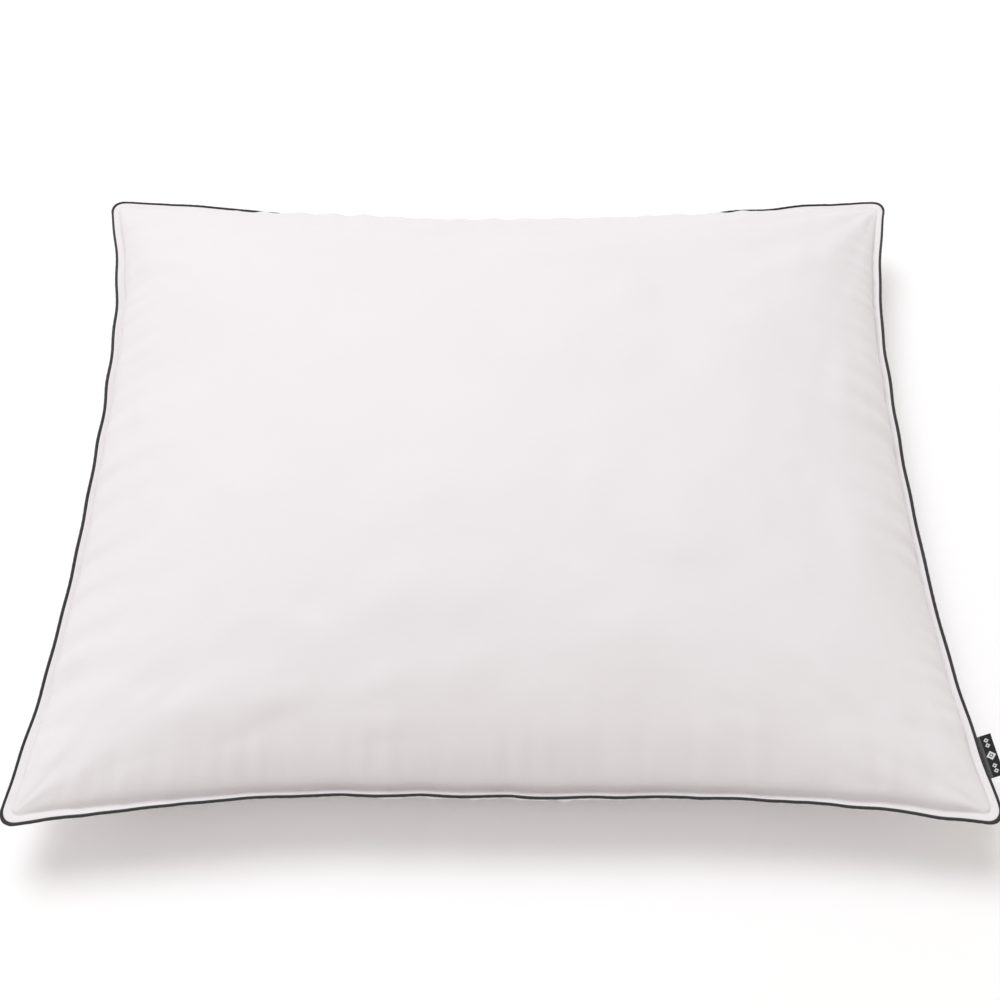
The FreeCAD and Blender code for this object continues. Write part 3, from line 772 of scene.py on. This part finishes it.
def make_stitches(name, material, rows, start=0.0, length=None):
    """Rows of separate stitches along the edge. Each row is (a, b, side, pitch, share): its place in the
    strip's section, which way its face looks, its pitch, and how much of the pitch shows as thread."""
    length = length or edge.length
    points, faces, uv = [], [], []
    along = np.array([-1, -0.86, -0.5, 0, 0.5, 0.86, 1]) / 2
    sink = np.array([1.6, 0.75, 0.1, 0, 0.1, 0.75, 1.6]) * THREAD  # its ends dive into the cloth
    size = np.array([0.55, 0.95, 1, 1, 1, 0.95, 0.55]) * THREAD
    around = np.linspace(0, 2 * math.pi, 8, endpoint=False)
    for a, b, side, pitch, share in rows:
        count = int(length / pitch)
        middles = start + (np.arange(count) + 0.5) * length / count
        middles = middles + random.normal(0, 0.03 * pitch, count)
        sway = random.normal(0, 0.05 * MM, count)
        s = (middles[:, None] + along * pitch * share)[:, :, None] * np.ones(len(around))
        across = a + sway[:, None, None] + (size[:, None] * np.cos(around))[None]
        height = b + side * ((size[:, None] * np.sin(around)) + (THREAD * 0.4 - sink)[:, None])[None]
        rings = edge.sample(s, across * np.ones_like(s), height * np.ones_like(s))
        for k in range(count):
            stitch = tube(rings.shape[1:3], False, len(along) * len(around) * len(points))
            points.append(rings[k].reshape(-1, 3))
            faces += stitch if side > 0 else [face[::-1] for face in stitch]
            uv.append(np.stack([s[k].ravel(), np.tile(around * THREAD, len(along))], 1))
    points, uv = np.concatenate(points), np.concatenate(uv)
    return new_object(name, points, faces, material, corner_values(faces, uv))


# ---------------------------------------------------------------- the labels
def curve_through(knots, count):
    """A smooth line through a few listed (out, up) knots, evenly divided."""
    knots = np.array(knots, float)
    t = np.concatenate([[0], np.cumsum(np.linalg.norm(np.diff(knots, axis=0), axis=1))])
    slopes = np.gradient(knots, t, axis=0)
    fine = np.linspace(0, t[-1], count)
    k = np.clip(np.searchsorted(t, fine, side="right") - 1, 0, len(t) - 2)
    gap = (t[k + 1] - t[k])[:, None]
    f = (fine[:, None] - t[k][:, None]) / gap
    rise = knots[k + 1] - knots[k]
    start, end = slopes[k] * gap, slopes[k + 1] * gap
    return knots[k] + f * start + f**2 * (3 * rise - 2 * start - end) + f**3 * (start + end - 2 * rise)


def make_label(name, material, side, along, width, knots, ply, slack, curl, skew=0.0):
    """A tape folded in two, its cut ends caught under the piping. knots are its middle line in mm, out and
    up from the piping's centre. slack parts its two plies towards the fold, curl lifts its outer corners
    and skew slants it along the seam, as a share of its length."""
    columns, rows = 34, 36  # across the tape and along it
    middle = edge.where(side, along)
    s = middle + np.linspace(-width / 2, width / 2, columns)
    spine = edge.sample(s, np.full(columns, PIPING_OUT), np.zeros(columns))
    line = spine.mean(0) + np.linspace(-0.5, 0.5, columns)[:, None] * (spine[-1] - spine[0])
    tangent = (spine[-1] - spine[0]) / np.linalg.norm(spine[-1] - spine[0])
    out = np.cross(tangent, (0, 0, 1))
    out /= np.linalg.norm(out)
    up = np.cross(out, tangent)
    path = curve_through(knots, rows) * MM
    step = np.gradient(path, axis=0)
    step /= np.linalg.norm(step, axis=1)[:, None]
    normal = np.column_stack([-step[:, 1], step[:, 0]])
    u = np.linspace(0, 1, rows)
    fold = np.sqrt(np.clip(1 - ((u - 0.955) / 0.045).clip(0) ** 2, 0, 1))
    gap = slack * u**1.4 + 0.02 * MM
    travelled = np.concatenate([[0], np.cumsum(np.linalg.norm(np.diff(path, axis=0), axis=1))])
    faces = []
    for inset in (0.0, ply):
        half = (gap / 2 + ply - inset) * (fold if inset == 0 else fold * (u < 0.97))
        reach = path - step * (inset * (u > 0.97))[:, None]
        section = np.concatenate([reach + normal * half[:, None], (reach - normal * half[:, None])[::-1][1:]])
        rise = np.concatenate([u, u[::-1][1:]])
        corner = (np.abs(np.linspace(-1, 1, columns)) ** 3)[:, None] * (rise**2)[None] * curl
        wave = 0.25 * MM * np.sin(np.linspace(0, 5.2, columns))[:, None] * rise[None]
        loose = np.clip(rise * 4, 0, 1)[None, :, None]
        base = spine[:, None] + (line - spine)[:, None] * loose
        sheet = base + out * section[None, :, :1] + up * (section[None, :, 1] + corner + wave)[..., None]
        faces.append(sheet + tangent * skew * section[None, :, :1])
    across = np.concatenate([travelled, 2 * travelled[-1] - travelled[::-1][1:]])
    uv = np.stack(np.broadcast_arrays((s - middle)[:, None], across), -1)
    made = folded_strip(name, material, *faces, uv, False)
    centre = spine.mean(0)
    return made, centre, out


# ---------------------------------------------------------------- the pillow
WHITE = cotton()
cover = Cover()
top = make_panel("top_panel_cloth", cover, True, WHITE)
bottom = make_panel("bottom_panel_cloth", cover, False, WHITE)
filling = make_filling(cover, fibre_material())
tape = make_tape(bias_tape())
cord = make_cord(cord_material())
SEWING = thread_material()
seam = make_stitches("seam_thread_stitches", SEWING, [
    (4.2 * MM, 0.5 * MM, 1, 3.0 * MM, 0.85),
    (4.2 * MM, -0.5 * MM, -1, 3.0 * MM, 0.85),
])
upper = make_stitches("edge_stitches_upper", SEWING, [(0.2 * MM, 0.93 * MM, 1, 3.2 * MM, 0.84)])
lower = make_stitches("edge_stitches_lower", SEWING, [(0.2 * MM, -0.93 * MM, -1, 3.2 * MM, 0.84)])
closing = make_stitches("closing_stitches", SEWING, [
    (3.0 * MM, 1.04 * MM, 1, 2.5 * MM, 0.8),
    (3.0 * MM, -1.04 * MM, -1, 2.5 * MM, 0.8),
], edge.where("back", 0) - CLOSING / 2, CLOSING)

woven, woven_root, woven_out = make_label(
    "woven_label_fold", woven_black(), "right", -0.2397, WOVEN_WIDTH,
    [(-1.2, -0.95), (-0.6, -1.5), (0.4, -1.75), (1.6, -1.45), (3.5, -0.75), (7, 0.35), (10.8, 1.4)],
    0.3 * MM, 0.4 * MM, 0.7 * MM, 0.05)
care, care_root, _ = make_label(
    "care_label_fold", satin_white(), "back", -0.110, CARE_WIDTH,
    [(-1.2, -0.95), (-0.9, -1.7), (-0.3, -3.2), (0.4, -6), (0.9, -12), (0.5, -20), (-0.4, -29), (-1.6, -38)],
    0.16 * MM, 0.7 * MM, 0.0)

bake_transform(woven)
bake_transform(care)
for piece, node, slot in (
    (top, "top_panel", "ticking"), (bottom, "bottom_panel", "ticking"), (filling, "filling", "filling"),
    (tape, "piping_tape", "piping"), (cord, "piping_cord", "cord"), (seam, "seam_thread", "thread"),
    (upper, "edge_stitch_upper", "thread"), (lower, "edge_stitch_lower", "thread"),
    (closing, "closing_stitch", "thread"), (woven, "woven_label", "label_black"),
    (care, "care_label", "label_white"),
):
    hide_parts(node)
    if piece not in (woven, care):
        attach(piece, "pillow")

# ---------------------------------------------------------------- the studio
floor = new_object("studio_floor", [(-20, -20, 0), (20, -20, 0), (20, 20, 0), (-20, 20, 0)], [(0, 1, 2, 3)],
                   floor_material(), smooth=False)


def area_light(name, place, target, size, power, colour):
    light = bpy.data.lights.new(name, "AREA")
    light.shape, light.size, light.size_y = "RECTANGLE", *size
    light.energy, light.color = power, colour
    holder = bpy.data.objects.new(name, light)
    holder.location = place
    holder.rotation_euler = (Vector(target) - Vector(place)).to_track_quat("-Z", "Y").to_euler()
    bpy.context.collection.objects.link(holder)


area_light("key_light", (-1.2, 1.75, 4.7), (0, 0, 0), (2.8, 2.8), 131, (0.94, 0.99, 1.03))

world = bpy.data.worlds.new("studio")
world.use_nodes = True
world.node_tree.nodes["Background"].inputs["Color"].default_value = (1, 0.955, 0.925, 1)
world.node_tree.nodes["Background"].inputs["Strength"].default_value = 0.70
scene = bpy.context.scene
scene.world = world
scene.view_settings.view_transform = "Standard"

lens = bpy.data.cameras.new("camera")
lens.lens, lens.sensor_width = 57.6, 36
camera = bpy.data.objects.new("camera", lens)
camera.location = (0, -0.7195, 1.072)
camera.rotation_euler = (math.radians(34.36), 0, 0)
bpy.context.collection.objects.link(camera)
scene.camera = camera

bpy.context.view_layer.update()
